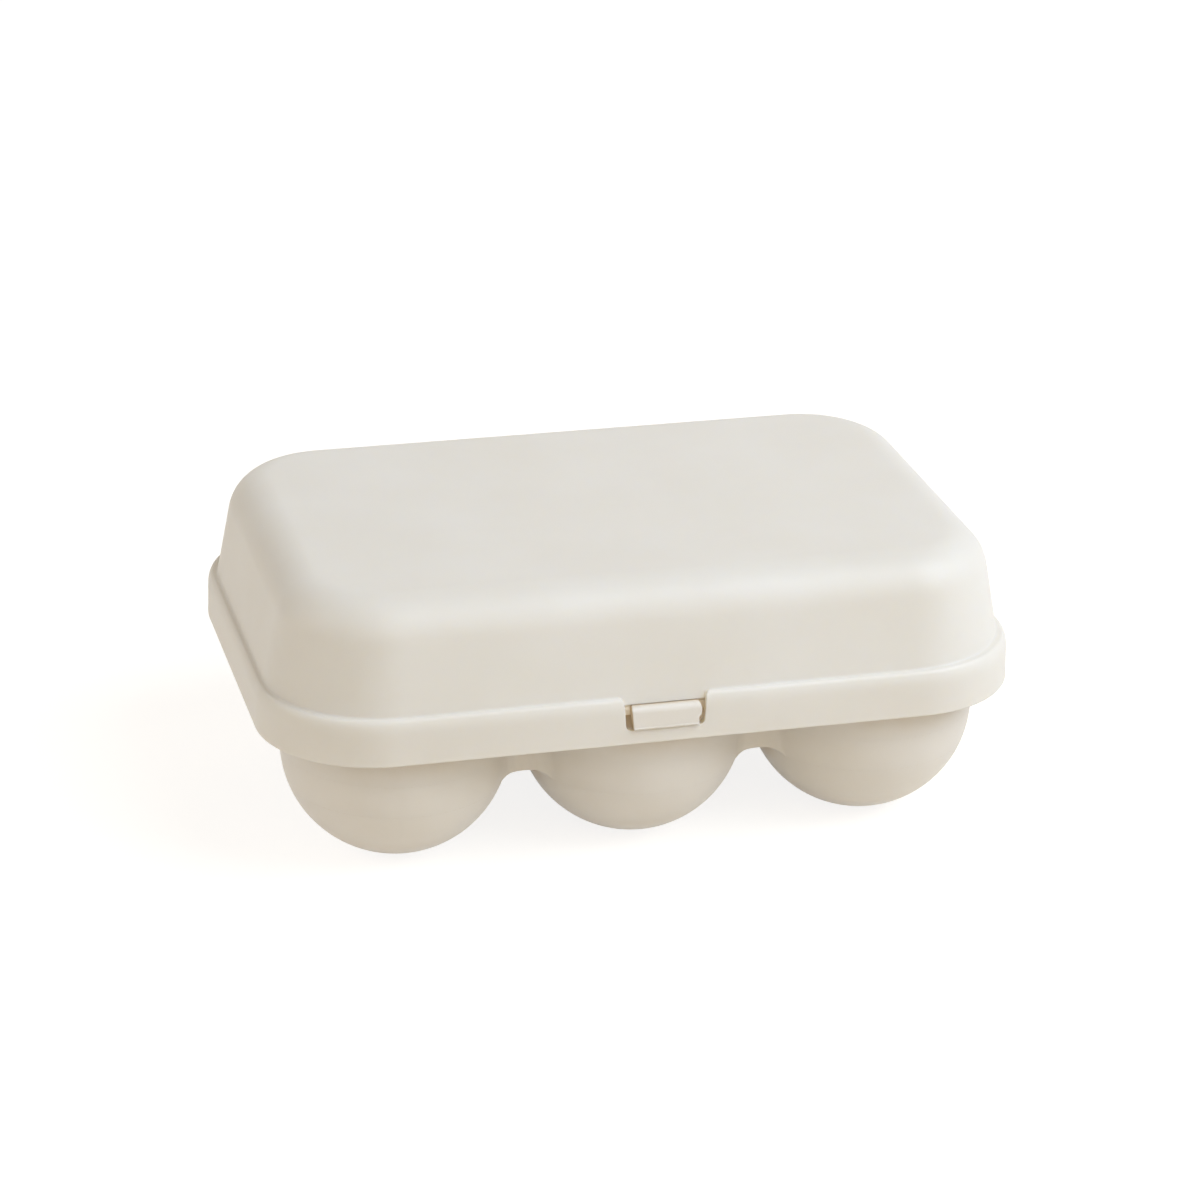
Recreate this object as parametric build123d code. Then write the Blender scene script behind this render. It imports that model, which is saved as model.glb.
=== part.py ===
from build123d import *
from math import atan2, cos, degrees, radians, sqrt, tan
import os

# Egg keeper for six eggs: a tray of ball-bottomed cups under a domed lid that flips up
# about two clip-on hinges at the back and snaps over a catch at the front.
# +X runs along the keeper, the front faces -Y and +Z is up. Millimetres and degrees.

# ---- egg cups and deck ----
cup_seat_radius = 21.6  # inside of a cup's ball
tray_wall = 1.6
cup_gap_length = 2.6  # free space between neighbouring cups along the keeper
cup_gap_width = 2.35  # and across it
cup_foot_radius = 3.5  # flat under each cup that stands on the table
deck_height = 17.5  # underside of the deck between the cups
web_round_height = 1.7  # of the round that runs each ball into the deck's underside
web_round_reach = 1.5  # and its reach past the ball
cup_mouth_bevel = 0.8  # lip of each cup in the deck
valley_radius = 6.0  # hollow of the tray's wall between two cups

# ---- tray rim ----
tray_height = 37.65  # top of the rim over the table
rim_thickness = 2.1
rim_end_reach = 3.8  # of the rim past the end cups
rim_side_reach = 2.75  # and past the front and back cups
rim_corner = 22.1
rim_edge_chamfer = 0.4
rim_mouth_chamfer = 0.6

# ---- lid ----
lid_wall = 1.6
skirt_height = 9.5
skirt_draft = 1.4
skirt_edge_round = 1.45
shoulder_width = 1.7  # ledge between the skirt and the dome
dome_rise = 21.9
dome_draft = 10.7
dome_corner = 23.8
dome_top_round = 9.1
dome_foot_chamfer = 0.2
side_gap = 0.2  # rim to skirt
seam_gap = 0.15  # rim to the lid's shoulder

# ---- front catch and its window in the skirt ----
catch_width = 14.0
catch_lip = 1.8  # thickness of the lip that hangs over the window's sill
catch_proud = 0.45  # reach of the lip past the skirt's face
catch_lead = 0.7  # how far the top of the nose stands back from its lip
catch_top_round = 1.5
catch_end_chamfer = 0.4
catch_corner_width = 0.7  # cut off the nose's two upper corners, seen from the front
catch_corner_height = 1.3
sill_height = 2.95  # bar of skirt left under the window
sill_gap = 0.2
window_side_gap = 1.4
window_corner = 1.0

# ---- hinges ----
hinge_spacing = 88.0
hinge_pin_radius = 1.6
hinge_running_gap = 0.05
clip_wall = 1.5
clip_width = 8.0
clip_mouth_angle = 90.0
clip_neck_height = 8.0
clip_neck_top = 1.2
lug_thickness = 2.0
lug_radius = 3.0
lug_root_depth = 6.5  # length of the lugs' seat under the rim
lug_side_gap = 0.3
lug_skirt_gap = 0.4
hinge_stand_off = 3.4  # hinge axis behind the skirt's face
hinge_drop = 1.2  # and below the skirt's lower edge

# ---- places worked out from the sizes above ----
cup_radius = cup_seat_radius + tray_wall
cup_pitch_length = 2 * cup_radius + cup_gap_length
cup_pitch_width = 2 * cup_radius + cup_gap_width
ball_height = sqrt(cup_radius**2 - cup_foot_radius**2)  # middle of each ball over the table
deck_top = deck_height + tray_wall
bevel_bottom = deck_top - cup_mouth_bevel
hollow_reach = cup_radius + valley_radius  # from a cup's axis to the next valley's axis
cup_top = deck_height - web_round_height

rim_bottom = tray_height - rim_thickness
rim_length = 2 * (cup_pitch_length + cup_radius + rim_end_reach)
rim_width = 2 * (cup_pitch_width / 2 + cup_radius + rim_side_reach)

shoulder_bottom = tray_height + seam_gap
skirt_top = shoulder_bottom + lid_wall
skirt_bottom = skirt_top - skirt_height
skirt_slope = tan(radians(skirt_draft))
rim_inset = lid_wall + side_gap + (tray_height - skirt_bottom) * skirt_slope
skirt_length = rim_length + 2 * rim_inset
skirt_width = rim_width + 2 * rim_inset
skirt_corner = rim_corner + rim_inset
skirt_top_inset = skirt_height * skirt_slope
dome_slope = tan(radians(dome_draft))
dome_wall = lid_wall / cos(radians(dome_draft))  # the lid's wall, measured level
dome_inset = skirt_top_inset + shoulder_width
lid_top = skirt_top + dome_rise

sill_top = skirt_bottom + sill_height
catch_bottom = sill_top + sill_gap
window_width = catch_width + 2 * window_side_gap

hinge_y = skirt_width / 2 + hinge_stand_off
hinge_z = skirt_bottom - hinge_drop
clip_bore = hinge_pin_radius + hinge_running_gap
clip_radius = clip_bore + clip_wall
lug_offset = clip_width / 2 + lug_side_gap + lug_thickness / 2

front_reach = skirt_width / 2 + catch_proud
back_reach = hinge_y + max(clip_radius, lug_radius)
origin_y = (back_reach - front_reach) / 2  # the origin is under the middle of the keeper's box
cut_margin = 1.0  # how far a cutting body runs past the face that it cuts
edge_set_back = 0.05  # of each edge disc from the hollow between two cups


def rounded_slab(length, width, corner, bottom, height, draft=0.0):
    """Upright plate with round corners that narrows upwards by the draft angle."""
    outline = Plane.XY.offset(bottom) * RectangleRounded(length, width, corner)
    return extrude(outline, amount=height, taper=draft)


def cup_ring():
    """Axes of the six cups, in order round the keeper."""
    front = [Vector(side * cup_pitch_length, -cup_pitch_width / 2) for side in (-1, 0, 1)]
    back = [Vector(side * cup_pitch_length, cup_pitch_width / 2) for side in (1, 0, -1)]
    return front + back


def valley_ring():
    """Axes of the six hollows in the tray's wall, each after the cup of the same number."""
    cups = cup_ring()
    axes = []
    for here, there in zip(cups, cups[1:] + cups[:1]):
        side = there - here
        outwards = side.rotate(Axis.Z, -90).normalized()
        reach = sqrt(hollow_reach**2 - (side.length / 2) ** 2)
        axes.append((here + there) * 0.5 + outwards * reach)
    return axes


def heading(start, end):
    """Angle from +X of the level direction from one axis to another."""
    return degrees(atan2(end.Y - start.Y, end.X - start.X))


def cup_turns():
    """For each cup its axis, the angle at which the wall outside it starts and how far it turns."""
    turns = []
    valleys = valley_ring()
    for cup, before, after in zip(cup_ring(), valleys[-1:] + valleys, valleys):
        start = heading(cup, before)
        turns.append((cup, start, (heading(cup, after) - start) % 360))
    return turns


def valley_turns():
    """For each hollow its axis, the angle at which the wall inside it starts and how far it turns back."""
    turns = []
    cups = cup_ring()
    for valley, before, after in zip(valley_ring(), cups, cups[1:] + cups[:1]):
        start = heading(valley, before)
        turns.append((valley, start, -((start - heading(valley, after)) % 360)))
    return turns


def cup_section(radius, height):
    """Radius of a cup at a height: a ball below its middle, an upright wall above it."""
    return sqrt(radius**2 - max(ball_height - height, 0) ** 2)


def ball_arc(radius, bottom, top):
    """Side of a cup's ball between two heights, in the plane of its axis."""
    middle = (bottom + top) / 2
    return ThreePointArc(
        (cup_section(radius, bottom), bottom),
        (cup_section(radius, middle), middle),
        (cup_section(radius, top), top),
    )


def ball_core(radius, bottom, top, turn=360.0):
    """One cup's ball about +Z between two heights, turned from +X."""
    ball = ball_arc(radius, bottom, top)
    rest = Polyline(ball @ 1, (0, top), (0, bottom), ball @ 0)
    return revolve(Plane.XZ * make_face(ball + rest), axis=Axis.Z, revolution_arc=turn)


def valley_cutter(radius, bottom):
    """The hollow beside a cup: its side mirrors the ball's, so the two run smoothly together."""
    middle = (bottom + ball_height) / 2
    side = ThreePointArc(
        (hollow_reach - cup_section(radius, bottom), bottom),
        (hollow_reach - cup_section(radius, middle), middle),
        (hollow_reach - radius, ball_height),
    )
    rest = Polyline(side @ 1, (0, ball_height), (0, bottom), side @ 0)
    return revolve(Plane.XZ * make_face(side + rest), axis=Axis.Z)


def web_round():
    """Disc that fills the corner between a ball and the deck's underside with a hollow round."""
    ball = ball_arc(cup_radius, 0, cup_top)
    reach = cup_section(cup_radius, deck_height) + web_round_reach
    side = TangentArc(ball @ 1, (reach, deck_height), tangent=ball % 1)
    rest = Polyline(side @ 1, (0, deck_height), (0, cup_top), side @ 0)
    return revolve(Plane.XZ * make_face(side + rest), axis=Axis.Z)


def mouth_bevel():
    """Disc that opens the mouth of a seat in the deck's top."""
    lip = cup_section(cup_seat_radius, bevel_bottom)
    side = Polyline(
        (0, bevel_bottom),
        (lip, bevel_bottom),
        (lip + cup_mouth_bevel, deck_top),
        (0, deck_top),
        close=True,
    )
    return revolve(Plane.XZ * make_face(side), axis=Axis.Z)


def ring_outline():
    """Outline that joins the axes of the cups and of the hollows between them, in turn."""
    points = []
    for cup, valley in zip(cup_ring(), valley_ring()):
        points += [cup, valley]
    return make_face(Polyline(*points, close=True))


def between_cups(radius, bottom, top):
    """Body inside the ring of axes, less the hollows beside the cups."""
    body = extrude(Plane.XY.offset(bottom) * ring_outline(), amount=top - bottom)
    for valley in valley_ring():
        body -= Pos(valley.X, valley.Y) * valley_cutter(radius, bottom)
    return body


def egg_well(radius, deck, bottom, edge, edge_bottom):
    """Body over the deck that joins the six balls up to their middles, each with an edge disc."""
    well = between_cups(radius, deck, ball_height)
    under_deck = between_cups(radius - edge_set_back, edge_bottom, deck)
    ball = ball_core(radius, bottom, deck)
    for cup, start, turn in cup_turns():
        place = Pos(cup.X, cup.Y)
        well += place * ball
        well += place * Rot(0, 0, start) * ball_core(radius, deck, ball_height, turn)
        well += under_deck & (place * edge)
    return well


def well_outline(radius):
    """Outline of the upright wall round the cups: round each cup, hollow between two."""
    rounds = [CenterArc(cup, radius, start, turn) for cup, start, turn in cup_turns()]
    hollow = hollow_reach - radius
    hollows = [CenterArc(valley, hollow, start, turn) for valley, start, turn in valley_turns()]
    return make_face(rounds + hollows)


def upright_well(radius, bottom, top):
    """Body inside the upright wall, between two heights."""
    return extrude(Plane.XY.offset(bottom) * well_outline(radius), amount=top - bottom)


def level_edges(body, height):
    """Edges of a body that lie level at a height."""
    at_height = body.edges().filter_by(lambda edge: abs(edge.center().Z - height) < 1e-4)
    return at_height.filter_by(lambda edge: edge.bounding_box().size.Z < 1e-4)


def egg_cup():
    """One cup's ball, up to where its round into the deck starts, as one turned section."""
    outer = ball_arc(cup_radius, 0, cup_top)
    inner = ball_arc(cup_seat_radius, ball_height - cup_seat_radius, cup_top)
    rim = Line(outer @ 1, inner @ 1)
    foot = Polyline(inner @ 0, (0, 0), outer @ 0)
    return revolve(Plane.XZ * make_face(outer + rim + inner + foot), axis=Axis.Z)


def tray_deck():
    """Deck between the cups' mouths, with the balls' upper zones that lean out from it."""
    outside = egg_well(cup_radius, deck_height, cup_top, web_round(), cup_top)
    seat_bottom = cup_top - cut_margin
    return outside - egg_well(cup_seat_radius, deck_top, seat_bottom, mouth_bevel(), bevel_bottom)


def tray_wall_ring():
    """Upright wall that runs round all the cups, from the balls' middles up to the rim."""
    outside = upright_well(cup_radius, ball_height, rim_bottom)
    return outside - upright_well(cup_seat_radius, ball_height, rim_bottom)


def tray_rim():
    """Flat rim round the mouth of the well, under the lid's shoulder."""
    plate = rounded_slab(rim_length, rim_width, rim_corner, rim_bottom, rim_thickness)
    plate -= upright_well(cup_seat_radius, rim_bottom, tray_height)
    top = plate.faces().sort_by(Axis.Z)[-1]
    plate = chamfer(top.outer_wire().edges(), rim_edge_chamfer)
    top = plate.faces().sort_by(Axis.Z)[-1]
    return chamfer(top.inner_wires()[0].edges(), rim_mouth_chamfer)


def lid_outside():
    """Outer form of the skirt with its shoulder, and of the dome on it."""
    skirt = rounded_slab(skirt_length, skirt_width, skirt_corner, skirt_bottom, skirt_height, skirt_draft)
    skirt = fillet(level_edges(skirt, skirt_top), skirt_edge_round)
    body = skirt + dome_body(0, skirt_top, lid_top, dome_top_round)
    shoulder = body.faces().filter_by_position(Axis.Z, skirt_top - 1e-4, skirt_top + 1e-4)[0]
    return chamfer(shoulder.inner_wires()[0].edges(), dome_foot_chamfer)


def dome_body(inwards, bottom, top, top_round):
    """The dome's form, set inwards by a level distance, between two heights."""
    inset = dome_inset + inwards + (bottom - skirt_top) * dome_slope
    corner = dome_corner - inwards - (bottom - skirt_top) * dome_slope
    length = skirt_length - 2 * inset
    width = skirt_width - 2 * inset
    body = rounded_slab(length, width, corner, bottom, top - bottom, dome_draft)
    return fillet(level_edges(body, top), top_round)


def lid_shell():
    """Dome, shoulder and skirt of one wall, with the catch's window in the front of the skirt."""
    outside = lid_outside()
    skirt_hollow = rounded_slab(
        skirt_length - 2 * lid_wall,
        skirt_width - 2 * lid_wall,
        skirt_corner - lid_wall,
        skirt_bottom,
        skirt_height - lid_wall,
        skirt_draft,
    )
    dome_hollow = dome_body(dome_wall, shoulder_bottom, lid_top - lid_wall, dome_top_round - lid_wall)
    return outside - skirt_hollow - dome_hollow - catch_window()


def catch_window():
    """Cutter for the window: through the skirt and its shoulder, flush with the dome's leaning face."""
    top = skirt_top + cut_margin
    clear = -skirt_width / 2 - cut_margin
    dome_foot = -skirt_width / 2 + dome_inset
    hollow = dome_foot + dome_wall
    profile = Polyline(
        (clear, sill_top),
        (clear, top),
        (dome_foot + (top - skirt_top) * dome_slope, top),
        (dome_foot + (shoulder_bottom - skirt_top) * dome_slope, shoulder_bottom),
        (hollow, shoulder_bottom),
        (hollow, sill_top),
        close=True,
    )
    cutter = extrude(Plane.YZ * make_face(profile), amount=window_width / 2, both=True)
    lower = cutter.edges().filter_by(Axis.Y).group_by(Axis.Z)[0]
    return fillet(lower, window_corner)


def front_catch():
    """Nose on the front of the rim whose lip hangs over the window's sill."""
    root = -rim_width / 2
    face = -front_reach
    profile = Polyline(
        (root, tray_height),
        (face + catch_lead, tray_height),
        (face, catch_bottom),
        (face + catch_lip, catch_bottom),
        (face + catch_lip, rim_bottom),
        (root, rim_bottom),
        close=True,
    )
    nose = extrude(Plane.YZ * make_face(profile), amount=catch_width / 2, both=True)
    brow = nose.edges().filter_by(Axis.X).sort_by(lambda edge: edge.center().Z - edge.center().Y)[-1]
    nose = fillet(brow, catch_top_round)
    ends = nose.edges().filter_by(lambda edge: abs(abs(edge.center().X) - catch_width / 2) < 1e-4)
    front = ends.filter_by(lambda edge: edge.center().Y < face + catch_lip / 2)
    nose = chamfer(front, catch_end_chamfer)
    front_view = Polyline(
        (-catch_width / 2, rim_bottom - skirt_height),
        (-catch_width / 2, tray_height - catch_corner_height),
        (catch_corner_width - catch_width / 2, tray_height),
        (catch_width / 2 - catch_corner_width, tray_height),
        (catch_width / 2, tray_height - catch_corner_height),
        (catch_width / 2, rim_bottom - skirt_height),
        close=True,
    )
    return nose & extrude(Plane.XZ * make_face(front_view), amount=skirt_width)


def hinge_bracket(along):
    """Two lugs between the back of the wall, the rim and the hinge's pin, at a place along the keeper."""
    under_rim = Vector(rim_width / 2 - lug_root_depth, rim_bottom)
    arm = Polyline(
        under_rim,
        (rim_width / 2, rim_bottom),
        (rim_width / 2, skirt_bottom - lug_skirt_gap),
        (hinge_y, skirt_bottom - lug_skirt_gap),
        (hinge_y, hinge_z - lug_radius),
        (under_rim.X, hinge_z - lug_radius),
        close=True,
    )
    side = make_face(arm) + Pos(hinge_y, hinge_z) * Circle(lug_radius)
    lug = extrude(Plane.YZ * side, amount=lug_thickness / 2, both=True)
    pin = Pos(0, hinge_y, hinge_z) * Rot(0, 90, 0) * Cylinder(hinge_pin_radius, 2 * lug_offset)
    lugs = pin + Pos(lug_offset, 0, 0) * lug + Pos(-lug_offset, 0, 0) * lug
    return Pos(along, 0, 0) * lugs - upright_well(cup_radius, ball_height, rim_bottom)


def hinge_clip(along):
    """Clip that snaps over the hinge's pin, on a neck down the back of the skirt."""
    root = skirt_width / 2 - skirt_top_inset - cut_margin
    neck_top = skirt_bottom + clip_neck_height
    neck = Polyline(
        (root, skirt_bottom),
        (root, neck_top),
        (skirt_width / 2 + clip_neck_top, neck_top),
        (hinge_y + clip_radius, hinge_z + clip_radius / 2),
        (hinge_y + clip_radius, hinge_z),
        (hinge_y, hinge_z),
        close=True,
    )
    ring = Circle(clip_radius)
    half_mouth = clip_mouth_angle / 2
    wedge = Polyline(
        (0, 0),
        Vector(0, -2 * clip_radius).rotate(Axis.Z, -half_mouth),
        Vector(0, -2 * clip_radius).rotate(Axis.Z, half_mouth),
        close=True,
    )
    bore = Circle(clip_bore) + make_face(wedge)
    side = make_face(neck) + Pos(hinge_y, hinge_z) * ring - Pos(hinge_y, hinge_z) * bore
    clip = extrude(Plane.YZ * side, amount=clip_width / 2, both=True)
    skirt = rounded_slab(skirt_length, skirt_width, skirt_corner, skirt_bottom, skirt_height, skirt_draft)
    return Pos(along, 0, 0) * clip - skirt


def export(name, solid):
    """Moves a finished piece onto the keeper's origin and writes it."""
    export_step(Pos(0, -origin_y, 0) * solid, f"parts/{name}.step")


os.makedirs("parts", exist_ok=True)

cup = egg_cup()
for row, across in (("front", -1), ("back", 1)):
    for column, along in (("left", -1), ("middle", 0), ("right", 1)):
        place = Pos(along * cup_pitch_length, across * cup_pitch_width / 2)
        export(f"egg_cup_{row}_{column}", place * cup)
export("tray_deck", tray_deck())
export("tray_wall", tray_wall_ring())
export("tray_rim", tray_rim())
export("front_catch", front_catch())
export("lid_shell", lid_shell())

for side_name, along in (("left", -hinge_spacing / 2), ("right", hinge_spacing / 2)):
    export(f"tray_hinge_bracket_{side_name}", hinge_bracket(along))
    export(f"lid_hinge_clip_{side_name}", hinge_clip(along))
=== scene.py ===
"""Egg keeper with flip lid: the finish of its mouldings, the studio and the camera.

Lengths are metres in the keeper's own frame: +X along it, -Y out of its front, +Z up.
"""

import logging
import math
from dataclasses import dataclass, field, replace
from enum import Enum

import bmesh
import bpy
from mathutils import Matrix, Vector


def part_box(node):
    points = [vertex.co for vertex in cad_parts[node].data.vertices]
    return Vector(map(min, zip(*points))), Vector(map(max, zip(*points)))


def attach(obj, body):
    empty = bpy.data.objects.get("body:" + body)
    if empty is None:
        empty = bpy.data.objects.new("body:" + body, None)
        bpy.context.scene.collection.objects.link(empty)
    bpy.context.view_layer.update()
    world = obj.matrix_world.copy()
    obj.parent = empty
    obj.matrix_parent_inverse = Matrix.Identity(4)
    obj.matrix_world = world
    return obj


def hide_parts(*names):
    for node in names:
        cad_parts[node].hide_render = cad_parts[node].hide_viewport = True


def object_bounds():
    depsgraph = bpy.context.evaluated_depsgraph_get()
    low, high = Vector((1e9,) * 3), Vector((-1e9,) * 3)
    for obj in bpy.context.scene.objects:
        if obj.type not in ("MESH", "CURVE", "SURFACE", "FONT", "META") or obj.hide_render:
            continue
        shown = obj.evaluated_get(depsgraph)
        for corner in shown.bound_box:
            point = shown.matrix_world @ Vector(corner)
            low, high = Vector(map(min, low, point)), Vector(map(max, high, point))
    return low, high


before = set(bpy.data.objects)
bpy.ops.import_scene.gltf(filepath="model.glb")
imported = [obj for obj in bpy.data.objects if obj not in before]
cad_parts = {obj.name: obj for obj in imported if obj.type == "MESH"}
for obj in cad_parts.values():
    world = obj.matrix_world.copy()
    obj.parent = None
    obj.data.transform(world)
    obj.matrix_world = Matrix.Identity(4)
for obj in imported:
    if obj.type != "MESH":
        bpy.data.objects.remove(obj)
cad_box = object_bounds()

MM = 0.001
SHARP = math.radians(35)  # faces that meet at more than this keep an edge between them
HAIR = 0.02 * MM  # a gap too small to be seen, between faces that would otherwise lie in one plane
WELD = 0.001 * MM  # points nearer to each other than this are one
Colour = tuple[float, float, float, float]
log = logging.getLogger("egg_keeper")


class Combine(Enum):
    """What is kept of a piece and a tool."""

    CUT = "DIFFERENCE"
    SHARE = "INTERSECT"


def linear(code: str) -> Colour:
    """Turns an sRGB hex colour into the linear colour that a node takes.

    Args:
        code: The colour as "#rrggbb".

    Returns:
        Red, green, blue and an alpha of one.
    """
    channels = [int(code[i : i + 2], 16) / 255 for i in (1, 3, 5)]
    red, green, blue = (c / 12.92 if c <= 0.04045 else ((c + 0.055) / 1.055) ** 2.4 for c in channels)
    return red, green, blue, 1.0


def add_node(tree: bpy.types.NodeTree, kind: str, links: dict | None = None, **settings) -> bpy.types.Node:
    """Adds one node to a tree, with its settings and its links.

    Args:
        tree: The node tree that gets the node.
        kind: The node's type name.
        links: For each input, by name or number, either a socket to link or a value to set.
        settings: Properties of the node itself.

    Returns:
        The new node.
    """
    node = tree.nodes.new(kind)
    for name, value in settings.items():
        setattr(node, name, value)
    for key, value in (links or {}).items():
        if isinstance(value, bpy.types.NodeSocket):
            tree.links.new(value, node.inputs[key])
        else:
            node.inputs[key].default_value = value
    return node


def mix_colours(
    tree: bpy.types.NodeTree,
    share: bpy.types.NodeSocket,
    start: bpy.types.NodeSocket | Colour,
    end: bpy.types.NodeSocket | Colour,
) -> bpy.types.NodeSocket:
    """Passes from one colour into another.

    Args:
        tree: The node tree.
        share: A socket that goes from 0 to 1.
        start: The colour at 0, or its socket.
        end: The colour at 1, or its socket.

    Returns:
        The mixed colour's socket.
    """
    inputs = {0: share, 6: start, 7: end}  # a mix node's factor and its two colours
    return add_node(tree, "ShaderNodeMix", inputs, data_type="RGBA").outputs[2]


@dataclass(frozen=True)
class MouldedPolypropylene:
    """Polypropylene, injection moulded in a finely spark-eroded steel tool.

    The tool's texture leaves a fine even grain that takes the gloss off, and the pale resin lets a
    little light through, so thin edges look warm and bright.
    """

    name: str
    resin: str = "#e2ded7"
    warm: str = "#dfdad1"
    roughness: float = 0.47
    ior: float = 1.49
    grain: float = 0.35 * MM  # the tool's own grain is finer; drawn as coarse as it shows
    grain_depth: float = 0.006 * MM
    grain_detail: float = 2.0
    cloud: float = 28 * MM  # how wide the faint clouds of colour are
    cloud_detail: float = 3.0
    cloud_low: float = 0.3  # values of the noise between which one tone passes into the other
    cloud_high: float = 0.7
    scatter: float = 0.12
    scatter_depth: float = 1.6 * MM
    scatter_spread: tuple[float, float, float] = (1.0, 0.85, 0.6)  # of red, green and blue in that depth
    edge_round: float = 0.0  # soft edge that the tool's own rounds leave
    edge_samples: int = 6
    hollow_reach: float = 3 * MM  # how far round a spot its walls count as a hollow
    hollow_samples: int = 8
    hollow_low: float = 5 * MM  # height under which nearness to the table doesn't count
    hollow_high: float = 14 * MM  # height from which a hollow counts in full
    hollow_start: float = 0.55  # share of open sky at which the painted hollow shading sets in
    hollow_full: float = 0.2
    painted_hollow_shading: str = "#fff4e0"  # painted tone deep in hollows: this default paints a warm glow lighter than the resin, and a darker value paints shade

    def clouds(self, tree: bpy.types.NodeTree, place: bpy.types.NodeSocket) -> bpy.types.NodeSocket:
        """Makes the resin's colour, in faint clouds of two tones.

        Args:
            tree: The material's tree.
            place: The place on the piece.

        Returns:
            The colour's socket.
        """
        noise = add_node(
            tree,
            "ShaderNodeTexNoise",
            {"Vector": place, "Scale": 1 / self.cloud, "Detail": self.cloud_detail},
        )
        share = add_node(
            tree,
            "ShaderNodeMapRange",
            {"Value": noise.outputs["Fac"], "From Min": self.cloud_low, "From Max": self.cloud_high},
        )
        return mix_colours(tree, share.outputs["Result"], linear(self.resin), linear(self.warm))

    def painted_hollow_mask(self, tree: bpy.types.NodeTree, place: bpy.types.NodeSocket) -> bpy.types.NodeSocket:
        """Works out how much painted hollow shading a spot gets, from how much open sky it has and how high
        it lies.

        Args:
            tree: The material's tree.
            place: The place on the piece.

        Returns:
            A socket that goes from 0 in the open to 1 deep in a hollow.
        """
        sky = add_node(
            tree,
            "ShaderNodeAmbientOcclusion",
            {"Distance": self.hollow_reach},
            samples=self.hollow_samples,
        )
        shut = add_node(
            tree,
            "ShaderNodeMapRange",
            {"Value": sky.outputs["AO"], "From Min": self.hollow_start, "From Max": self.hollow_full},
        )
        parts = add_node(tree, "ShaderNodeSeparateXYZ", {"Vector": place})
        height = add_node(
            tree,
            "ShaderNodeMapRange",
            {"Value": parts.outputs["Z"], "From Min": self.hollow_low, "From Max": self.hollow_high},
        )
        both = {0: shut.outputs["Result"], 1: height.outputs["Result"]}
        return add_node(tree, "ShaderNodeMath", both, operation="MULTIPLY").outputs[0]

    def surface(self, tree: bpy.types.NodeTree, place: bpy.types.NodeSocket) -> bpy.types.NodeSocket:
        """Makes the surface's fine grain, over softened edges where the finish has them.

        Args:
            tree: The material's tree.
            place: The place on the piece.

        Returns:
            The normal's socket.
        """
        grain = add_node(
            tree,
            "ShaderNodeTexNoise",
            {"Vector": place, "Scale": 1 / self.grain, "Detail": self.grain_detail},
        )
        bump = add_node(
            tree,
            "ShaderNodeBump",
            {"Height": grain.outputs["Fac"], "Distance": self.grain_depth, "Strength": 1.0},
        )
        if self.edge_round:
            edges = add_node(tree, "ShaderNodeBevel", {"Radius": self.edge_round}, samples=self.edge_samples)
            tree.links.new(edges.outputs["Normal"], bump.inputs["Normal"])
        return bump.outputs["Normal"]

    def build(self) -> bpy.types.Material:
        """Makes the node material.

        Returns:
            The material, ready for a piece's slot.
        """
        material = bpy.data.materials.new(self.name)
        material.use_nodes = True
        tree = material.node_tree
        tree.nodes.clear()
        place = add_node(tree, "ShaderNodeTexCoord").outputs["Object"]
        # Painted light and shade: the resin's clouds pass into the painted hollow shading where little sky
        # reaches.
        colour = mix_colours(tree, self.painted_hollow_mask(tree, place), self.clouds(tree, place), linear(self.painted_hollow_shading))
        shader = add_node(
            tree,
            "ShaderNodeBsdfPrincipled",
            {
                "Base Color": colour,
                "Roughness": self.roughness,
                "IOR": self.ior,
                "Subsurface Weight": self.scatter,
                "Subsurface Scale": self.scatter_depth,
                "Subsurface Radius": self.scatter_spread,
                "Normal": self.surface(tree, place),
            },
        )
        add_node(tree, "ShaderNodeOutputMaterial", {"Surface": shader.outputs[0]})
        return material


def dress(piece: bpy.types.Object, material: bpy.types.Material) -> None:
    """Gives a piece its one material.

    Args:
        piece: A mesh object.
        material: The finish of its whole surface.
    """
    piece.data.materials.clear()
    piece.data.materials.append(material)


def polygon_prism(name: str, outline: list[Vector], push: Vector) -> bpy.types.Object:
    """Makes a prism from a flat outline.

    Args:
        name: The object's name.
        outline: The corners of one end, in order.
        push: The way from that end to the other.

    Returns:
        A closed mesh object.
    """
    mesh = bmesh.new()
    end = mesh.faces.new([mesh.verts.new(corner) for corner in outline])
    pushed = bmesh.ops.extrude_face_region(mesh, geom=[end])["geom"]
    moved = [part for part in pushed if isinstance(part, bmesh.types.BMVert)]
    bmesh.ops.translate(mesh, verts=moved, vec=push)
    bmesh.ops.recalc_face_normals(mesh, faces=mesh.faces)
    return as_object(name, mesh)


def as_object(name: str, mesh: bmesh.types.BMesh) -> bpy.types.Object:
    """Turns mesh code's result into an object of the scene.

    Args:
        name: The object's name.
        mesh: The mesh, which is used up.

    Returns:
        The object, at the origin.
    """
    data = bpy.data.meshes.new(name)
    mesh.to_mesh(data)
    mesh.free()
    piece = bpy.data.objects.new(name, data)
    bpy.context.scene.collection.objects.link(piece)
    return piece


def loft(name: str, mesh: bmesh.types.BMesh, rings: list[list[bmesh.types.BMVert]]) -> bpy.types.Object:
    """Joins rings of vertices by faces, and closes the first ring and the last.

    Args:
        name: The object's name.
        mesh: The mesh that holds the rings, which is used up.
        rings: The rings in their order, each with the same number of vertices.

    Returns:
        A closed mesh object.
    """
    for ring, following in zip(rings, rings[1:]):
        for here in range(len(ring)):
            there = (here + 1) % len(ring)
            mesh.faces.new((ring[here], ring[there], following[there], following[here]))
    mesh.faces.new(rings[0])
    mesh.faces.new(rings[-1])
    bmesh.ops.recalc_face_normals(mesh, faces=mesh.faces)
    return as_object(name, mesh)


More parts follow.
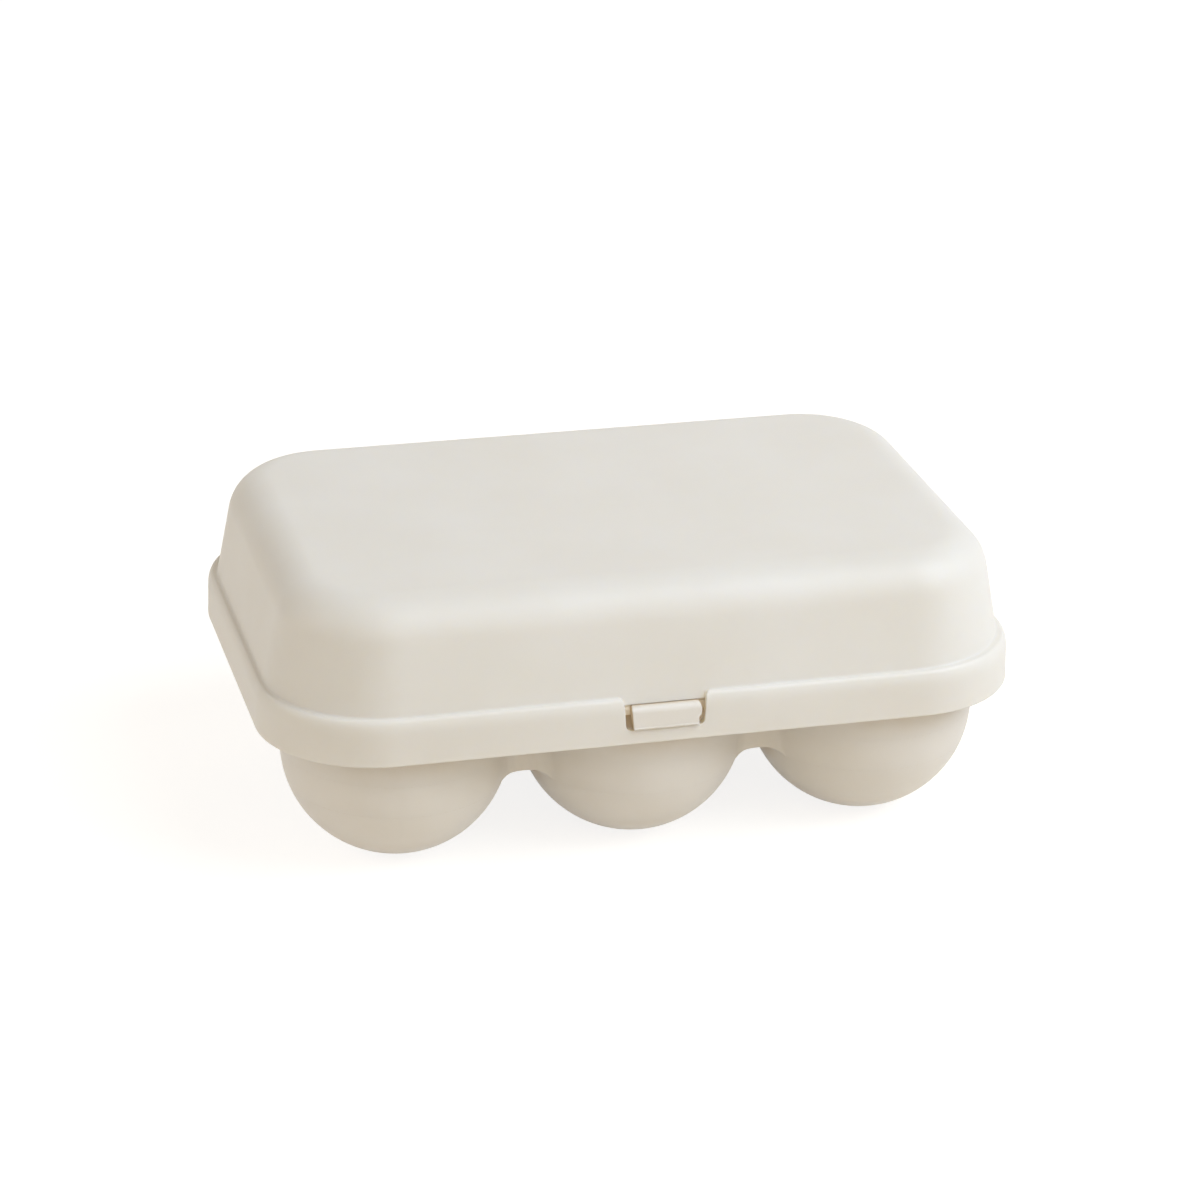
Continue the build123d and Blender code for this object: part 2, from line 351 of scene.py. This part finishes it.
def apply_modifiers(piece: bpy.types.Object) -> None:
    """Turns a piece and its modifiers into one plain mesh.

    Args:
        piece: The piece, which keeps its name and place.
    """
    bpy.context.view_layer.update()
    graph = bpy.context.evaluated_depsgraph_get()
    baked = bpy.data.meshes.new_from_object(piece.evaluated_get(graph), depsgraph=graph)
    old = piece.data
    piece.modifiers.clear()
    piece.data = baked
    baked.name = piece.name
    bpy.data.meshes.remove(old)


def combine(piece: bpy.types.Object, tool: bpy.types.Object, how: Combine) -> None:
    """Cuts a piece with a tool, or keeps what both share, and removes the tool.

    Args:
        piece: The piece that is changed.
        tool: The closed mesh that changes it.
        how: What is kept.
    """
    modifier = piece.modifiers.new("combine", "BOOLEAN")
    modifier.operation = how.value
    modifier.solver = "EXACT"
    modifier.object = tool
    apply_modifiers(piece)
    bpy.data.objects.remove(tool)


def finish_shading(piece: bpy.types.Object) -> None:
    """Clears faces that have no area, and shades a piece smooth, with flat faces kept flat.

    Args:
        piece: The piece that is changed.
    """
    mesh = bmesh.new()
    mesh.from_mesh(piece.data)
    bmesh.ops.dissolve_degenerate(mesh, edges=mesh.edges, dist=WELD)
    mesh.to_mesh(piece.data)
    mesh.free()
    piece.data.shade_smooth()
    piece.data.set_sharp_from_angle(angle=SHARP)
    weights = piece.modifiers.new("weights", "WEIGHTED_NORMAL")
    weights.keep_sharp = True
    apply_modifiers(piece)


@dataclass(frozen=True)
class Corner:
    """A corner of a section, and the round that takes its place."""

    at: Vector
    radius: float = 0.0
    steps: int = 1
    stretch: float = 1.0  # of the round along the run before the corner


def rounded_line(corners: list[Corner]) -> list[Vector]:
    """Rounds the inner corners of a line with arcs, or parts of ellipses where they are stretched.

    Args:
        corners: The line's corners, in order.

    Returns:
        The points of the rounded line.
    """
    points = [corners[0].at]
    for before, corner, after in zip(corners, corners[1:], corners[2:]):
        back = (before.at - corner.at).normalized()
        ahead = (after.at - corner.at).normalized()
        half = back.angle(ahead) / 2
        reach = corner.radius / math.tan(half)
        start = corner.at + back * reach * corner.stretch
        end = corner.at + ahead * reach
        for step in range(corner.steps + 1):
            t = step / corner.steps
            pull = 2 * math.sin(half) * t * (1 - t)
            total = (1 - t) ** 2 + pull + t**2
            points.append((start * (1 - t) ** 2 + corner.at * pull + end * t**2) / total)
    points.append(corners[-1].at)
    return points


@dataclass
class Lid:
    """The lid's moulding: a skirt, a ledge and a dome of one wall, open below."""

    wall: float = 1.6 * MM
    skirt_height: float = 9.5 * MM
    skirt_draft: float = math.radians(1.4)
    skirt_corner: float = 24.09 * MM
    ledge: float = 1.7 * MM
    dome_draft: float = math.radians(10.7)
    dome_corner: float = 23.8 * MM
    dome_round: float = 9.1 * MM
    lower_round: float = 0.45 * MM
    ledge_round: float = 1.2 * MM
    ledge_stretch: float = 2.6  # the ledge's round reaches further down the skirt
    edge_round: float = 0.3 * MM  # of the skirt's lower edge
    foot_round: float = 0.5 * MM
    corner_steps: int = 24
    small_steps: int = 3
    edge_steps: int = 4
    ledge_steps: int = 12
    crown_steps: int = 22
    window_top_width: float = 16.9 * MM
    window_sill_width: float = 15.9 * MM
    window_corner: float = 1.0 * MM
    window_brow: float = 0.7 * MM  # round of the ledge's ends over the window
    window_steps: int = 6
    window_shift: float = -0.35 * MM  # along the keeper
    sill_height: float = 2.95 * MM

    def __post_init__(self) -> None:
        """Takes the lid's place and reach from the frame."""
        low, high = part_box("lid_shell")
        self.middle = (low + high) / 2
        self.reach = (high - low) / 2
        self.base, self.height = low.z, high.z - low.z
        self.dome_slope = math.tan(self.dome_draft)
        self.skirt_slope = math.tan(self.skirt_draft)
        self.dome_inset = self.skirt_height * self.skirt_slope + self.ledge
        self.dome_rise = self.height - self.skirt_height
        self.flat_inset = self.dome_inset + self.dome_rise * self.dome_slope + self.dome_round
        self.clearance = 2 * self.wall  # how far a cutter reaches past what it cuts

    def skirt_part(self) -> list[Vector]:
        """Works out the skirt's section, from the inner edge of the ledge's underside round to its top.

        Returns:
            The points, as distance inwards and height.
        """
        under_ledge = self.skirt_height - self.wall
        inner = self.wall + under_ledge * self.skirt_slope
        shoulder = Vector((self.skirt_height * self.skirt_slope, self.skirt_height))
        small = self.lower_round
        return rounded_line(
            [
                Corner(Vector((inner + small, under_ledge))),
                Corner(Vector((inner, under_ledge)), small, self.small_steps),
                Corner(Vector((self.wall, 0)), small, self.small_steps),
                Corner(Vector((0, 0)), self.edge_round, self.edge_steps),
                Corner(shoulder, self.ledge_round, self.ledge_steps, self.ledge_stretch),
                Corner(Vector((self.dome_inset, self.skirt_height))),
            ]
        )[:-1]

    def dome_face(self, inwards: float, height: float) -> float:
        """Works out where a leaning face of the dome lies.

        Args:
            inwards: Level distance from the dome's outer face.
            height: Height over the lid's lower edge.

        Returns:
            The distance inwards from the lid's lower edge.
        """
        return self.dome_inset + inwards + (height - self.skirt_height) * self.dome_slope

    def dome_part(self, inwards: float, bottom: float, top: float, foot: float, crown: float) -> list[Vector]:
        """Works out one face of the dome's section, from the ledge up to the flat top.

        Args:
            inwards: Level distance from the dome's outer face.
            bottom: Height where it starts.
            top: Height of the flat.
            foot: Radius of the round at its foot.
            crown: Radius of the round at its top.

        Returns:
            The points, as distance inwards and height.
        """
        at_foot = self.dome_face(inwards, bottom)
        at_top = self.dome_face(inwards, top)
        return rounded_line(
            [
                Corner(Vector((at_foot - foot, bottom))),
                Corner(Vector((at_foot, bottom)), foot, self.edge_steps),
                Corner(Vector((at_top, top)), crown, self.crown_steps),
                Corner(Vector((self.flat_inset, top))),
            ]
        )

    def ring(
        self, mesh: bmesh.types.BMesh, inset: float, height: float, corner: float
    ) -> list[bmesh.types.BMVert]:
        """Adds one level rounded rectangle.

        Args:
            mesh: The mesh that gets the points.
            inset: How far it lies inwards of the lid's lower edge.
            height: How high it lies over that edge.
            corner: The radius of its corners.

        Returns:
            Its vertices, counter-clockwise.
        """
        quarter = math.pi / 2
        ring = []
        for number, (side_x, side_y) in enumerate(((1, 1), (-1, 1), (-1, -1), (1, -1))):
            middle_x = self.middle.x + side_x * (self.reach.x - inset - corner)
            middle_y = self.middle.y + side_y * (self.reach.y - inset - corner)
            for step in range(self.corner_steps + 1):
                angle = (number + step / self.corner_steps) * quarter
                x, y = middle_x + corner * math.cos(angle), middle_y + corner * math.sin(angle)
                ring.append(mesh.verts.new((x, y, self.base + height)))
        return ring

    def shell(self) -> bpy.types.Object:
        """Lofts the lid's wall from rings round its section, and closes its top inside and out.

        Returns:
            The lid without its window.
        """
        dome_wall = self.wall / math.cos(self.dome_draft)
        inside = self.dome_part(
            dome_wall,
            self.skirt_height - self.wall,
            self.height - self.wall,
            self.lower_round,
            self.dome_round - self.wall,
        )
        outside = self.dome_part(0.0, self.skirt_height, self.height, self.foot_round, self.dome_round)
        mesh = bmesh.new()
        rings = []
        for inset, height in reversed(inside):
            rings.append(self.ring(mesh, inset, height, self.dome_corner + self.dome_inset - inset))
        for inset, height in self.skirt_part():
            rings.append(self.ring(mesh, inset, height, self.skirt_corner - inset))
        for inset, height in outside:
            rings.append(self.ring(mesh, inset, height, self.dome_corner + self.dome_inset - inset))
        return loft("lid_shell_moulded", mesh, rings)

    def window_half_width(self, height: float) -> float:
        """Works out half the window's width: it narrows downwards, with round lower and upper corners.

        Args:
            height: Height over the lid's lower edge.

        Returns:
            Half the width there.
        """
        over_sill = height - self.sill_height
        share = over_sill / (self.skirt_height - self.sill_height)
        width = self.window_sill_width + (self.window_top_width - self.window_sill_width) * share
        below = max(self.window_corner - over_sill, 0)
        above = min(max(height - self.skirt_height + self.window_brow, 0), self.window_brow)
        pinch = self.window_corner - math.sqrt(self.window_corner**2 - below**2)
        flare = self.window_brow - math.sqrt(self.window_brow**2 - above**2)
        return width / 2 - pinch + flare

    def window_tool(self, heights: list[float], back: float, slope: float) -> bpy.types.Object:
        """Makes a cutter that takes away the catch's window between two heights.

        Args:
            heights: Heights over the lid's lower edge at which the window's width is taken.
            back: How far the cutter goes behind the lid's front at the ledge's height.
            slope: How much further back it goes for each unit of height.

        Returns:
            The cutter.
        """
        front = self.middle.y - self.reach.y
        mesh = bmesh.new()
        frames = []
        for height in heights:
            half = self.window_half_width(height)
            far = front + back + (height - self.skirt_height) * slope
            near = front - self.clearance
            corners = ((-half, near), (half, near), (half, far), (-half, far))
            middle = self.middle.x + self.window_shift
            frames.append([mesh.verts.new((middle + x, y, self.base + height)) for x, y in corners])
        return loft("window_tool", mesh, frames)

    def open_window(self, piece: bpy.types.Object) -> None:
        """Cuts the catch's window: through the band, then through the ledge down along the dome's face.

        Args:
            piece: The lid.
        """
        quarter = math.pi / 2
        rounds = [math.sin(step / self.window_steps * quarter) for step in range(self.window_steps + 1)]
        under_ledge = self.skirt_height - self.wall - HAIR
        lower = [self.sill_height + self.window_corner * (1 - math.sqrt(1 - turn**2)) for turn in rounds]
        upper = [self.skirt_height - self.window_brow * (1 - turn) for turn in rounds]
        low_tool = self.window_tool(lower + [under_ledge], self.dome_inset + self.clearance, 0.0)
        combine(piece, low_tool, Combine.CUT)
        heights = [under_ledge - self.window_brow] + upper + [self.skirt_height + self.wall]
        high_tool = self.window_tool(heights, self.dome_inset - HAIR, self.dome_slope)
        combine(piece, high_tool, Combine.CUT)

    def build(self, plastic: bpy.types.Material) -> bpy.types.Object:
        """Makes the lid's moulding with its window.

        Args:
            plastic: The finish.

        Returns:
            The piece, which stands for the CAD node.
        """
        piece = self.shell()
        self.open_window(piece)
        finish_shading(piece)
        dress(piece, plastic)
        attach(piece, "lid")
        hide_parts("lid_shell")
        log.info("built %s with %d faces", piece.name, len(piece.data.polygons))
        return piece


@dataclass
class Catch:
    """The nose on the rim's front, whose lip hangs over the sill of the lid's window."""

    left_brow: float = 7.2 * MM  # the ends, from the keeper's middle
    left_foot: float = 6.85 * MM
    right_brow: float = 7.05 * MM
    right_foot: float = 6.45 * MM
    corner_width: float = 0.35 * MM  # cut off the upper right corner
    corner_height: float = 1.3 * MM
    step_width: float = 0.5 * MM  # in the lower part of the right end
    step_height: float = 1.9 * MM
    lead: float = 0.45 * MM  # how far the face leans back at its top
    lip: float = 1.8 * MM  # thickness of the lip, front to back
    brow_round: float = 1.4 * MM
    flash: float = 0.12 * MM  # ridge where the mould closes, along the lower edge
    edge_round: float = 0.22 * MM
    side_steps: int = 8
    front_steps: int = 3
    rim: float = 2.1 * MM  # thickness of the rim that the nose grows from, and the prisms' overhang

    def front_view(self) -> list[Corner]:
        """Works out the nose's outline from the front, from its lower left corner round.

        Returns:
            The corners, on the plane of the nose's back.
        """
        low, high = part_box("front_catch")
        middle = (low.x + high.x) / 2
        step = low.z + self.step_height
        places = (
            (-self.left_foot, low.z - self.rim),
            (-self.left_foot, low.z),
            (-self.left_brow, high.z),
            (self.right_brow - self.corner_width, high.z),
            (self.right_brow, high.z - self.corner_height),
            (self.right_foot + self.step_width, step + self.flash),
            (self.right_foot, step - self.flash),
            (self.right_foot, low.z - self.rim),
        )
        end_round = 2 * self.edge_round
        return [Corner(Vector((middle + x, high.y, z)), end_round, self.front_steps) for x, z in places]

    def side_view(self) -> list[Corner]:
        """Works out the nose's section: a brow that leans back, and a lip with its line of flash.

        Returns:
            The corners, on a plane to the left of the nose.
        """
        low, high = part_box("front_catch")
        ridge = low.z + 3 * self.flash  # top of the flash's upright face
        places = (
            (high.y, high.z, 0.0),
            (low.y + self.lead, high.z, self.brow_round),
            (low.y + self.flash, ridge + self.flash, self.flash),
            (low.y, ridge, self.flash / 2),
            (low.y, low.z + self.flash, self.flash / 2),
            (low.y + self.flash, low.z, self.flash / 2),
            (low.y + self.lip, low.z, self.edge_round),
            (low.y + self.lip, high.z - self.rim, self.edge_round),
            (high.y, high.z - self.rim, 0.0),
        )
        left = low.x - self.rim
        return [Corner(Vector((left, y, z)), radius, self.side_steps) for y, z, radius in places]

    def build(self, plastic: bpy.types.Material) -> bpy.types.Object:
        """Makes the catch.

        Args:
            plastic: The finish.

        Returns:
            The piece, which stands for the CAD node.
        """
        low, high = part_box("front_catch")
        side = rounded_line(self.side_view())
        piece = polygon_prism("front_catch_moulded", side, Vector((high.x - low.x + 2 * self.rim, 0, 0)))
        front = [corner + Vector((0, self.rim, 0)) for corner in rounded_line(self.front_view())]
        tool = polygon_prism("catch_outline", front, Vector((0, low.y - high.y - 2 * self.rim, 0)))
        combine(piece, tool, Combine.SHARE)
        finish_shading(piece)
        dress(piece, plastic)
        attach(piece, "tray")
        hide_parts("front_catch")
        log.info("built %s with %d faces", piece.name, len(piece.data.polygons))
        return piece


@dataclass
class EggCups:
    """The egg cups under the deck, each one turned from the same section by a node tree."""

    seat_radius: float = 21.6 * MM
    wall: float = 1.6 * MM
    foot_radius: float = 3.5 * MM
    arc_steps: int = 48
    turn_steps: int = 120
    path_radius: float = 1.0 * MM  # of the ring that the section is led round

    def arc(self, radius: float, middle: float, start: float, end: float) -> list[Vector]:
        """Works out points along an arc whose middle lies on the cup's axis.

        Args:
            radius: The arc's radius.
            middle: How high its middle is.
            start: The angle where it starts, over the horizon.
            end: The angle where it ends.

        Returns:
            The points, across and up.
        """
        angles = [start + (end - start) * step / self.arc_steps for step in range(self.arc_steps + 1)]
        return [Vector((radius * math.cos(angle), middle + radius * math.sin(angle))) for angle in angles]

    def section(self, top: float) -> list[Vector]:
        """Works out a cup's section, from the middle of its foot out, up and back down inside.

        Args:
            top: Where the cup's ball runs into the deck.

        Returns:
            The section's points, across and up.
        """
        ball = self.seat_radius + self.wall
        middle = math.sqrt(ball**2 - self.foot_radius**2)
        foot_angle = math.asin(-middle / ball)
        top_angle = math.asin((top - middle) / ball)
        seat_angle = math.asin((top - middle) / self.seat_radius)
        outside = self.arc(ball, middle, foot_angle, top_angle)
        inside = self.arc(self.seat_radius, middle, seat_angle, -math.pi / 2)
        inside[-1].x = 0
        return [Vector((0, 0))] + outside + inside

    def turning_tree(self) -> bpy.types.NodeTree:
        """Makes the node tree that turns a section into a cup and puts it in its place.

        Returns:
            The tree, whose inputs are named.
        """
        tree = bpy.data.node_groups.new("turned_cup", "GeometryNodeTree")
        face = tree.interface
        face.new_socket("Section", in_out="INPUT", socket_type="NodeSocketGeometry")
        face.new_socket("Place", in_out="INPUT", socket_type="NodeSocketVector")
        face.new_socket("Turn steps", in_out="INPUT", socket_type="NodeSocketInt")
        face.new_socket("Path radius", in_out="INPUT", socket_type="NodeSocketFloat")
        face.new_socket("Plastic", in_out="INPUT", socket_type="NodeSocketMaterial")
        face.new_socket("Cup", in_out="OUTPUT", socket_type="NodeSocketGeometry")
        given = tree.nodes.new("NodeGroupInput")
        back = add_node(
            tree,
            "ShaderNodeMath",
            {0: given.outputs["Path radius"], 1: -1.0},
            operation="MULTIPLY",
        )
        shift = add_node(tree, "ShaderNodeCombineXYZ", {"X": back.outputs[0]})
        line = add_node(tree, "GeometryNodeMeshToCurve", {"Mesh": given.outputs["Section"]})
        moved = add_node(
            tree,
            "GeometryNodeTransform",
            {"Geometry": line.outputs["Curve"], "Translation": shift.outputs[0]},
        )
        ring = add_node(
            tree,
            "GeometryNodeCurvePrimitiveCircle",
            {"Resolution": given.outputs["Turn steps"], "Radius": given.outputs["Path radius"]},
        )
        turned = add_node(
            tree,
            "GeometryNodeCurveToMesh",
            {"Curve": ring.outputs["Curve"], "Profile Curve": moved.outputs["Geometry"]},
        )
        merged = add_node(
            tree,
            "GeometryNodeMergeByDistance",
            {"Geometry": turned.outputs["Mesh"], "Distance": WELD},
        )
        placed = add_node(
            tree,
            "GeometryNodeTransform",
            {
                "Geometry": merged.outputs["Geometry"],
                "Translation": given.outputs["Place"],
                "Rotation": (math.pi, 0.0, 0.0),  # the ring carries the section's top downwards
            },
        )
        real = add_node(tree, "GeometryNodeRealizeInstances", {"Geometry": placed.outputs["Geometry"]})
        coloured = add_node(
            tree,
            "GeometryNodeSetMaterial",
            {"Geometry": real.outputs["Geometry"], "Material": given.outputs["Plastic"]},
        )
        add_node(tree, "NodeGroupOutput", {"Cup": coloured.outputs["Geometry"]})
        return tree

    def turn(self, node: str, tree: bpy.types.NodeTree, plastic: bpy.types.Material) -> bpy.types.Object:
        """Makes one cup.

        Args:
            node: The CAD node that it stands for.
            tree: The node tree that turns the section.
            plastic: The finish.

        Returns:
            The piece, a plain mesh.
        """
        low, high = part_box(node)
        mesh = bmesh.new()
        line = [mesh.verts.new((across, up, 0)) for across, up in self.section(high.z)]
        for here, there in zip(line, line[1:]):
            mesh.edges.new((here, there))
        source = as_object(f"{node}_section", mesh)
        turned = source.modifiers.new("turned", "NODES")
        turned.node_group = tree
        inputs = {item.name: item.identifier for item in tree.interface.items_tree if item.in_out == "INPUT"}
        turned[inputs["Place"]] = ((low.x + high.x) / 2, (low.y + high.y) / 2, 0.0)
        turned[inputs["Turn steps"]] = self.turn_steps
        turned[inputs["Path radius"]] = self.path_radius
        turned[inputs["Plastic"]] = plastic
        apply_modifiers(source)
        source.name = f"{node}_turned"
        finish_shading(source)
        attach(source, "tray")
        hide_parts(node)
        log.info("turned %s with %d faces", source.name, len(source.data.polygons))
        return source

    def build(self, plastic: bpy.types.Material) -> list[bpy.types.Object]:
        """Makes all the cups.

        Args:
            plastic: The finish.

        Returns:
            The pieces, one for each CAD node of a cup.
        """
        tree = self.turning_tree()
        return [self.turn(name, tree, plastic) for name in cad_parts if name.startswith("egg_cup")]


@dataclass
class Camera:
    """The camera that looks at the keeper from the front, a little to the left and above."""

    place: tuple[float, float, float] = (-188.63 * MM, -712.54 * MM, 348.38 * MM)
    turn: float = 14.871  # to the right of +Y, degrees
    tilt: float = 22.878  # below the horizon
    roll: float = 0.891
    lens: float = 114.63  # millimetres, as is the sensor's width
    sensor: float = 36.0
    nearest: float = 0.05
    furthest: float = 20.0

    def build(self) -> bpy.types.Object:
        """Makes the camera and hands it to the scene.

        Returns:
            The camera object.
        """
        turn, tilt = math.radians(self.turn), math.radians(self.tilt)
        ahead = Vector((math.sin(turn) * math.cos(tilt), math.cos(turn) * math.cos(tilt), -math.sin(tilt)))
        right = Vector((math.cos(turn), -math.sin(turn), 0))
        basis = Matrix((right, right.cross(ahead), -ahead)).transposed()
        spin = Matrix.Rotation(math.radians(self.roll), 3, "Z")
        data = bpy.data.cameras.new("camera")
        data.lens = self.lens
        data.sensor_width = self.sensor
        data.sensor_fit = "HORIZONTAL"
        data.clip_start = self.nearest
        data.clip_end = self.furthest
        camera = bpy.data.objects.new("camera", data)
        camera.matrix_world = Matrix.Translation(self.place) @ (basis @ spin).to_4x4()
        bpy.context.scene.collection.objects.link(camera)
        bpy.context.scene.camera = camera
        return camera


@dataclass
class SoftBox:
    """A square lamp that hangs round the keeper."""

    name: str
    turn: float  # round from the front, towards the right, degrees
    height: float  # above the horizon
    power: float
    colour: str = "#ffffff"
    distance: float = 1.5
    side: float = 1.1

    def build(self, target: Vector) -> bpy.types.Object:
        """Makes the lamp, turned towards a point.

        Args:
            target: The point that the lamp shines at.

        Returns:
            The lamp object.
        """
        turn, height = math.radians(self.turn), math.radians(self.height)
        level = math.cos(height)
        out = Vector((math.sin(turn) * level, -math.cos(turn) * level, math.sin(height)))
        data = bpy.data.lights.new(self.name, "AREA")
        data.size = self.side
        data.energy = self.power
        data.color = linear(self.colour)[:3]
        lamp = bpy.data.objects.new(self.name, data)
        lamp.location = target + out * self.distance
        lamp.rotation_euler = (-out).to_track_quat("-Z", "Y").to_euler()
        bpy.context.scene.collection.objects.link(lamp)
        return lamp


@dataclass
class Studio:
    """White room: a pale floor, soft lamps and an even light from all round."""

    ambient: float = 0.30
    ambient_colour: str = "#ffefd5"
    floor_colour: str = "#f1e9dc"
    floor_half_width: float = 3.0
    floor_glow: float = 0.62  # share of white light in what is seen of the floor
    floor_glow_strength: float = 1.35
    lamps: list[SoftBox] = field(
        default_factory=lambda: [
            SoftBox("key_softbox", turn=56, height=47, power=21.3, colour="#e1efff"),
            SoftBox("right_softbox", turn=65, height=20, power=1.5, colour="#e6e8ff"),
            SoftBox("left_softbox", turn=-90, height=22, power=5.6),
            SoftBox("back_softbox", turn=150, height=35, power=1.7, colour="#ffe6bf"),
            SoftBox("low_softbox", turn=0, height=20, power=2.3, colour="#fff0d8"),
        ]
    )

    def seen(self, tree: bpy.types.NodeTree) -> bpy.types.NodeSocket:
        """Tells the rays that show the room itself from the rays that light the keeper.

        Args:
            tree: The tree of a material or of the world.

        Returns:
            A socket that is 1 for camera, glossy and transmission rays, and 0 for the others.
        """
        path = add_node(tree, "ShaderNodeLightPath").outputs
        seen = path["Is Camera Ray"]
        for name in ("Is Glossy Ray", "Is Transmission Ray"):
            seen = add_node(tree, "ShaderNodeMath", {0: seen, 1: path[name]}, operation="MAXIMUM").outputs[0]
        return seen

    def build_world(self) -> None:
        """Makes the even light from all round, white where it is seen."""
        world = bpy.data.worlds.new("white_room")
        world.use_nodes = True
        tree = world.node_tree
        tree.nodes.clear()
        seen = self.seen(tree)
        strength = add_node(tree, "ShaderNodeMapRange", {"Value": seen, "To Min": self.ambient})
        tint = mix_colours(tree, seen, linear(self.ambient_colour), linear("#ffffff"))
        back = add_node(tree, "ShaderNodeBackground", {"Color": tint, "Strength": strength.outputs[0]})
        add_node(tree, "ShaderNodeOutputWorld", {"Surface": back.outputs[0]})
        bpy.context.scene.world = world

    def build_floor(self) -> bpy.types.Object:
        """Makes the floor that the keeper stands on.

        Returns:
            The floor object.
        """
        half = self.floor_half_width
        mesh = bpy.data.meshes.new("floor")
        corners = [(-half, -half, 0), (half, -half, 0), (half, half, 0), (-half, half, 0)]
        mesh.from_pydata(corners, [], [(0, 1, 2, 3)])
        floor = bpy.data.objects.new("floor", mesh)
        bpy.context.scene.collection.objects.link(floor)
        material = bpy.data.materials.new("painted_studio_floor")
        material.use_nodes = True
        tree = material.node_tree
        tree.nodes.clear()
        paint = add_node(tree, "ShaderNodeBsdfDiffuse", {"Color": linear(self.floor_colour)})
        glow = add_node(tree, "ShaderNodeEmission", {"Strength": self.floor_glow_strength})
        factors = {0: self.seen(tree), 1: self.floor_glow}
        share = add_node(tree, "ShaderNodeMath", factors, operation="MULTIPLY")
        looks = {0: share.outputs[0], 1: paint.outputs[0], 2: glow.outputs[0]}
        mix = add_node(tree, "ShaderNodeMixShader", looks)
        add_node(tree, "ShaderNodeOutputMaterial", {"Surface": mix.outputs[0]})
        dress(floor, material)
        return floor

    def build(self, target: Vector) -> None:
        """Makes the whole studio.

        Args:
            target: The point that the lamps shine at.
        """
        self.build_world()
        self.build_floor()
        for lamp in self.lamps:
            lamp.build(target)
        bpy.context.scene.view_settings.view_transform = "Standard"


def make_finishes() -> dict[str, bpy.types.Material]:
    """Makes the plastic of each part of the keeper: the same resin, with its own tones and its own painted
    hollow shading.

    Returns:
        The materials, by the part that wears them.
    """
    # The tray's hollows, under the lid's band and between the cups, get painted shade: a darker, browner
    # tone. The catch takes the same.
    tray = MouldedPolypropylene(
        "polypropylene_moulded_matte_tray",
        resin="#e2ddd6",
        warm="#dfd9cf",
        hollow_reach=9 * MM,
        hollow_start=0.85,
        hollow_full=0.35,
        painted_hollow_shading="#cfb692",
    )
    # The lid's hollows get a painted glow, lighter and warmer than the resin.
    lid = MouldedPolypropylene(
        "polypropylene_moulded_matte_lid",
        edge_round=0.3 * MM,
        scatter=0.3,
        scatter_depth=2.5 * MM,
        hollow_start=0.75,
    )
    # The rim's hollows get the same painted glow.
    rim = MouldedPolypropylene("polypropylene_moulded_matte_rim", hollow_reach=6 * MM, hollow_start=0.75)
    catch = replace(tray, name="polypropylene_moulded_matte_catch", edge_round=0.35 * MM)
    finishes = {"lid": lid, "tray": tray, "rim": rim, "catch": catch}
    return {part: finish.build() for part, finish in finishes.items()}


def dress_nodes(plastics: dict[str, bpy.types.Material]) -> None:
    """Dresses the CAD nodes.

    Args:
        plastics: The materials, by the part that wears them.
    """
    for name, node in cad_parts.items():
        part = "lid" if name.startswith("lid") else "tray"
        if name == "tray_rim":
            part = "rim"
        dress(node, plastics[part])
        log.info("dressed %s", name)


def main() -> None:
    """Builds the keeper's looks, the studio and the camera."""
    logging.basicConfig(level=logging.INFO, format="%(message)s")
    plastics = make_finishes()
    dress_nodes(plastics)
    Lid().build(plastics["lid"])
    Catch().build(plastics["catch"])
    EggCups().build(plastics["tray"])
    low, high = cad_box
    Studio().build((low + high) / 2)
    Camera().build()


if __name__ == "__main__":
    main()
